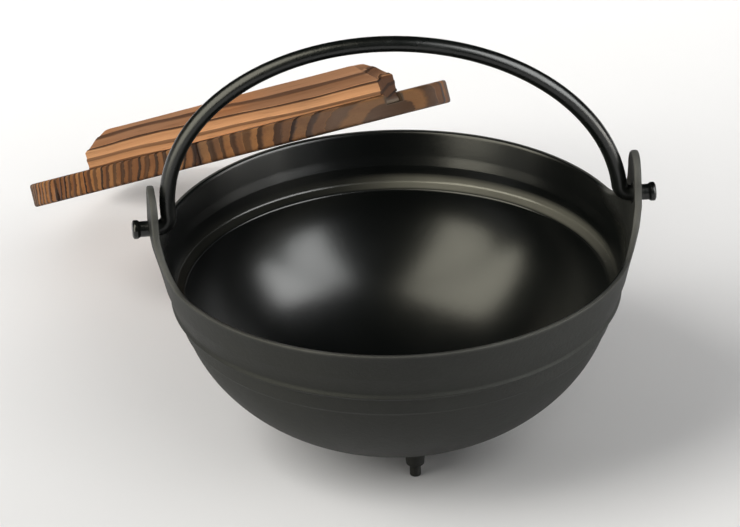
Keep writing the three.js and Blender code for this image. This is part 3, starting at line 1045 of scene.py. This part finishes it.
def battenSection(shape, high):  # outline across the batten where its top is at the height given
    half = shape["width"] / 2
    neck = shape["dovetailNeck"] / 2
    foot = neck + shape["dovetailSpread"]
    side = min(shape["side"], high - shape["slopeLeast"])
    slope = (half - shape["topWidth"] / 2) / (shape["height"] - shape["side"])
    top = half - slope * max(0.0, high - shape["side"]) - 0.1
    deep = -shape["dovetailDepth"]
    gap = lidShape["fitGap"]
    edge = shape["edge"]
    right = [(foot, deep, 0.3), (neck, 0.1, 0.1), (half, gap, 0.3), (half, side, edge), (top, high, edge)]
    perCorner = 5  # points
    path = roundedPath([(0, deep, 0)] + right + [(0, high, 0)], perCorner - 1)
    runs = [path[:1], *path[1:-1].reshape(-1, perCorner, 2), path[-1:]]
    outline = []
    for index, count in enumerate(shape["fill"]):
        outline += list(runs[index])
        first = runs[index][-1]
        last = runs[index + 1][0]
        outline += [first + (last - first) * (step + 1) / (count + 1) for step in range(count)]
    outline = np.array(outline + [path[-1]])
    return np.concatenate([outline, outline[-2:0:-1] * (-1, 1)])


def endLoops(loop, shares):  # loops that shrink to the middle of an end, so that it shows its rings
    middle = loop.mean(0)
    return [middle + (loop - middle) * share for share in shares]


def makeBatten(shape, wood, material):
    length = shape["to"] - shape["from"]
    easeDepth, easeLength = shape["rampEase"]
    endPart = shape["endRun"] + shape["endSpare"]
    endEdge = shape["endEdge"]
    near = [0.0, endEdge / 3, endEdge] + list(np.linspace(0, endPart, shape["endColumns"]))[1:]
    middle = list(np.linspace(endPart, length - endPart, shape["midColumns"] + 2))[1:-1]
    places = near + middle + [length - x for x in near[::-1]]
    loops = []
    for place in places:
        fromEnd = min(place, length - place)
        ramp = (shape["height"] - shape["endHeight"]) * max(0.0, 1 - fromEnd / shape["endRun"])
        bow = easeDepth * (1 - smoothStep(0.0, easeLength, abs(fromEnd - shape["endRun"])))
        section = battenSection(shape, shape["height"] - ramp - bow)
        shrink = shape["edge"] * max(0.0, 1 - fromEnd / endEdge) ** 2
        section = section - unit(section - section.mean(0)) * shrink
        loops.append([(place + shape["from"], y, z + lidShape["thickness"]) for y, z in section])
    grid = np.array(loops)
    points = grid.reshape(-1, 3)
    around = np.roll(grid, -1, axis=1) - np.roll(grid, 1, axis=1)
    outward = unit(np.stack([np.zeros_like(around[..., 0]), around[..., 2], -around[..., 1]], -1))
    outward[grid[..., 2] < lidShape["thickness"] + shape["plainBelow"]] = 0
    points = brushed(points, outward.reshape(-1, 3), growthRings(points, wood), wood)
    rows = list(points.reshape(grid.shape))
    rows = endLoops(rows[0], shape["endRings"])[::-1] + rows + endLoops(rows[-1], shape["endRings"])
    batten = newPiece("lidBatten", np.concatenate(rows), tubeFaces(len(rows), len(rows[0])), material)
    smoothPiece(batten, shape["sharpAngle"])
    own = pointsOf(batten)
    # painted highlight at the near end's lower edge
    paintedEndHighlight = smoothStep(*shape["endHighlightFrom"], own[:, 0]) * (1 - smoothStep(*shape["endHighlightBelow"], own[:, 2]))
    paintPoints(batten, rings=growthRings(own, wood), scorched=np.zeros(len(own)), bare=paintedEndHighlight)
    settle(batten)
    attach(batten, "lid")
    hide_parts("lid_batten")


boardLook = {
    "early": (0.215, 0.076, 0.018, 1),
    "pale": (0.34, 0.155, 0.052, 1),
    "late": (0.016, 0.006, 0.003, 1),
    "grey": (0.110, 0.066, 0.038, 1),
    "bare": (0.11, 0.07, 0.042, 1),
    "endDark": (0.8, 0.75, 0.7, 1),  # multiplies the colour where the grain ends
    "lateShare": 0.5,
}
battenLook = {
    "early": (0.36, 0.140, 0.046, 1),
    "pale": (0.60, 0.31, 0.145, 1),
    "late": (0.040, 0.016, 0.008, 1),
    "grey": (0.22, 0.135, 0.085, 1),
    # painted highlight on the batten's near end
    "bare": (0.40, 0.31, 0.23, 1),
    "endDark": (0.22, 0.17, 0.14, 1),
    "lateShare": 0.3,
}
woodGrain = {
    "stretch": 0.035,  # along the grain
    "patchStretch": 0.3,
    "fibreScale": 1300.0,
    "streakScale": 210.0,
    "patchScale": 26.0,
    "ringEnd": 0.95,  # of a ring, where its late wood stops
    "pore": (0.05, 0.02, 0.01, 1),
    "scorch": (0.02, 0.009, 0.006, 1),
    "scorchShare": 0.9,
    "earlyRough": 0.62,
    "lateRough": 0.48,
    "shine": 0.16,
    "ridgeDepth": 0.0004,
    "ridgeStrength": 0.7,
}


def makeWood(name, look, wood, grain):
    material, tree, shader = newMaterial(name)
    place = painted(tree, "own", "Vector")
    lengthwise = {"x": (1, 0, 0), "y": (0, 1, 0)}[wood["grain"]]
    long = tuple(grain["stretch"] if part else 1 for part in lengthwise)
    wide = tuple(grain["patchStretch"] if part else 1 for part in lengthwise)
    stretched = vectorCalc(tree, "MULTIPLY", place, long)
    fibre = grains(tree, stretched, grain["fibreScale"], 3.0, 0.65)
    streak = grains(tree, stretched, grain["streakScale"], 3.0, 0.6)
    patch = grains(tree, vectorCalc(tree, "MULTIPLY", place, wide), grain["patchScale"])
    wobble = calc(tree, "MULTIPLY", calc(tree, "SUBTRACT", streak, 0.5), 0.5)
    rings = calc(tree, "ADD", painted(tree, "rings"), wobble)
    part = calc(tree, "FRACT", rings)
    whole = calc(tree, "FLOOR", rings)
    depth = chance(tree, whole)  # each ring has its own depth of colour
    share = look["lateShare"]
    ringEnd = grain["ringEnd"]
    start = ease(tree, depth, 0, 1, ringEnd - 1.3 * share, ringEnd - 0.7 * share)
    late = ease(tree, part, start, calc(tree, "ADD", start, 0.35 * share + 0.05))
    late = calc(tree, "MULTIPLY", late, ease(tree, part, ringEnd, 1.0, 1.0, 0.0))
    late = calc(tree, "MULTIPLY", late, ease(tree, depth, 0.0, 1.0, 0.65, 1.0))
    paleness = chance(tree, calc(tree, "ADD", whole, 40.5))  # a second draw for each ring
    blend = weigh(tree, (streak, 0.8), (paleness, 0.6))
    early = tint(tree, ease(tree, blend, 0.45, 0.95), look["early"], look["pale"])
    weathered = ease(tree, weigh(tree, (patch, 1.0), (paleness, -0.25)), 0.25, 0.5)
    early = tint(tree, calc(tree, "MULTIPLY", weathered, wood["grey"]), early, look["grey"])
    colour = tint(tree, late, early, look["late"])
    colour = tint(tree, ease(tree, fibre, 0.55, 0.8, 0.0, 0.5), colour, grain["pore"])
    grainWay = lidMatrix.to_3x3() @ Vector(lengthwise)
    facing = vectorCalc(tree, "DOT_PRODUCT", ownPlace(tree, "Normal"), grainWay, "Value")
    dark = tint(tree, 1.0, colour, look["endDark"], "MULTIPLY")
    colour = tint(tree, ease(tree, calc(tree, "ABSOLUTE", facing), 0.3, 0.8), colour, dark)
    scorched = calc(tree, "MULTIPLY", painted(tree, "scorched"), grain["scorchShare"])
    colour = tint(tree, scorched, colour, grain["scorch"])
    rough = ease(tree, late, 0.0, 1.0, grain["earlyRough"], grain["lateRough"])
    ridge = weigh(tree, (late, 0.6), (fibre, 0.5))
    normal = raised(tree, ridge, grain["ridgeDepth"], grain["ridgeStrength"])
    # raw wood in the boards' groove; a painted highlight on the batten's end
    dress(tree, shader, tint(tree, painted(tree, "bare"), colour, look["bare"]), rough, normal)
    shader.inputs["Specular IOR Level"].default_value = grain["shine"]
    return material


def makeLid():
    half = lidShape["fitGap"] / 2
    far = lidShape["radius"] + 1  # past the lid's edge
    cuts = (-far, *lidShape["joints"], far)
    for (name, wood), fromX, toX in zip(boardWoods.items(), cuts, cuts[1:]):
        material = makeWood(name + "Wood", boardLook, wood, woodGrain)
        makeBoard(name, fromX + half, toX - half, wood, material, lidShape)
    makeBatten(battenShape, battenWood, makeWood("battenWood", battenLook, battenWood, woodGrain))


makeLid()
print("lid ready")
